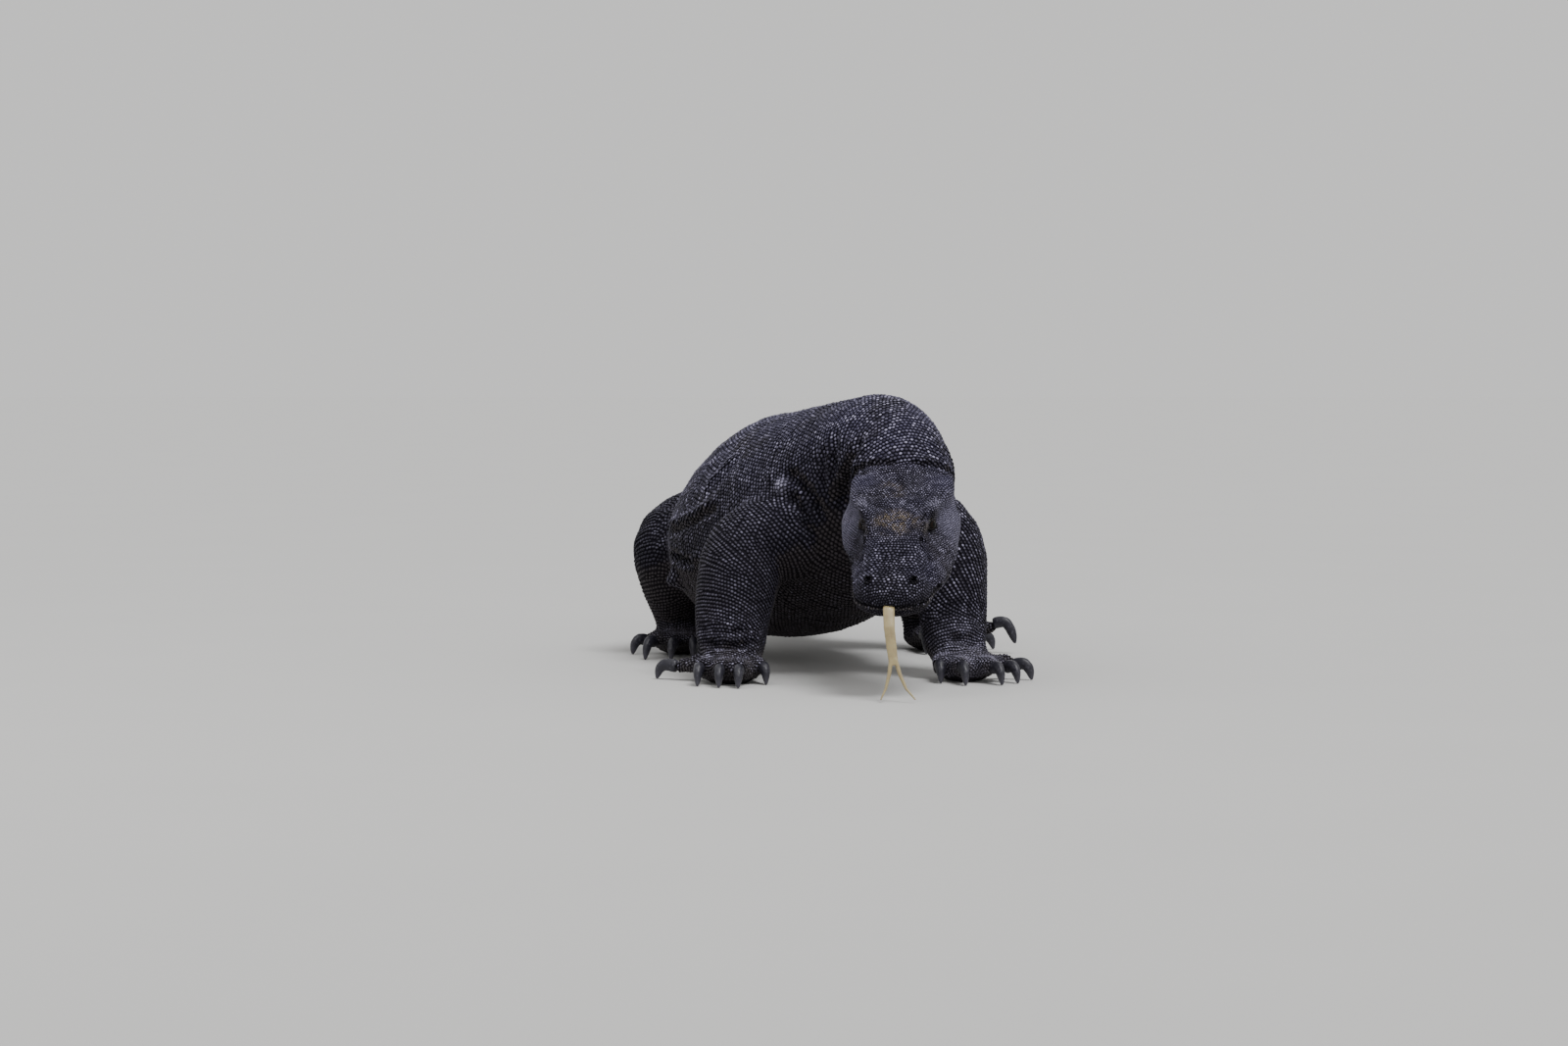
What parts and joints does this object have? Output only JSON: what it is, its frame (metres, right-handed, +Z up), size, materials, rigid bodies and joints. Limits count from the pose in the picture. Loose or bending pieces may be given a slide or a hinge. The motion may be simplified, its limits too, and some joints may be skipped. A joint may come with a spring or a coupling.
{
  "type": "komodo dragon",
  "caption": "Life-size monitor lizard standing still on four bent legs, with an arched neck, a low head and a forked tongue held out.",
  "frame": {"origin": "middle of the footprint of the whole animal, on the ground", "axes": "+Z up, +Y along the body from head to tail tip, +X to the animal's left"},
  "size_m": [0.5736, 2.3826, 0.3906],
  "materials": {
    "skin": "dry scaly hide, dark blue-grey",
    "claw": "worn dark horn",
    "eye": "wet, dark brown",
    "tongue": "moist, pale yellow-tan"
  },
  "bodies": {
    "root": {"belly": "skin", "chest": "skin", "head": "skin", "hips": "skin", "left_eye": "eye", "left_foot": "skin", "left_fore_claw_1": "claw", "left_fore_claw_2": "claw", "left_fore_claw_3": "claw", "left_fore_claw_4": "claw", "left_fore_claw_5": "claw", "left_forearm": "skin", "left_hand": "skin", "left_hind_claw_1": "claw", "left_hind_claw_2": "claw", "left_hind_claw_3": "claw", "left_hind_claw_4": "claw", "left_hind_claw_5": "claw", "left_shank": "skin", "left_thigh": "skin", "left_upper_arm": "skin", "lower_jaw": "skin", "neck": "skin", "right_eye": "eye", "right_foot": "skin", "right_fore_claw_1": "claw", "right_fore_claw_2": "claw", "right_fore_claw_3": "claw", "right_fore_claw_4": "claw", "right_fore_claw_5": "claw", "right_forearm": "skin", "right_hand": "skin", "right_hind_claw_1": "claw", "right_hind_claw_2": "claw", "right_hind_claw_3": "claw", "right_hind_claw_4": "claw", "right_hind_claw_5": "claw", "right_shank": "skin", "right_thigh": "skin", "right_upper_arm": "skin", "tail_1": "skin", "tail_2": "skin", "tail_3": "skin", "tail_4": "skin", "tail_5": "skin", "tongue": "tongue"}
  },
  "joints": []
}
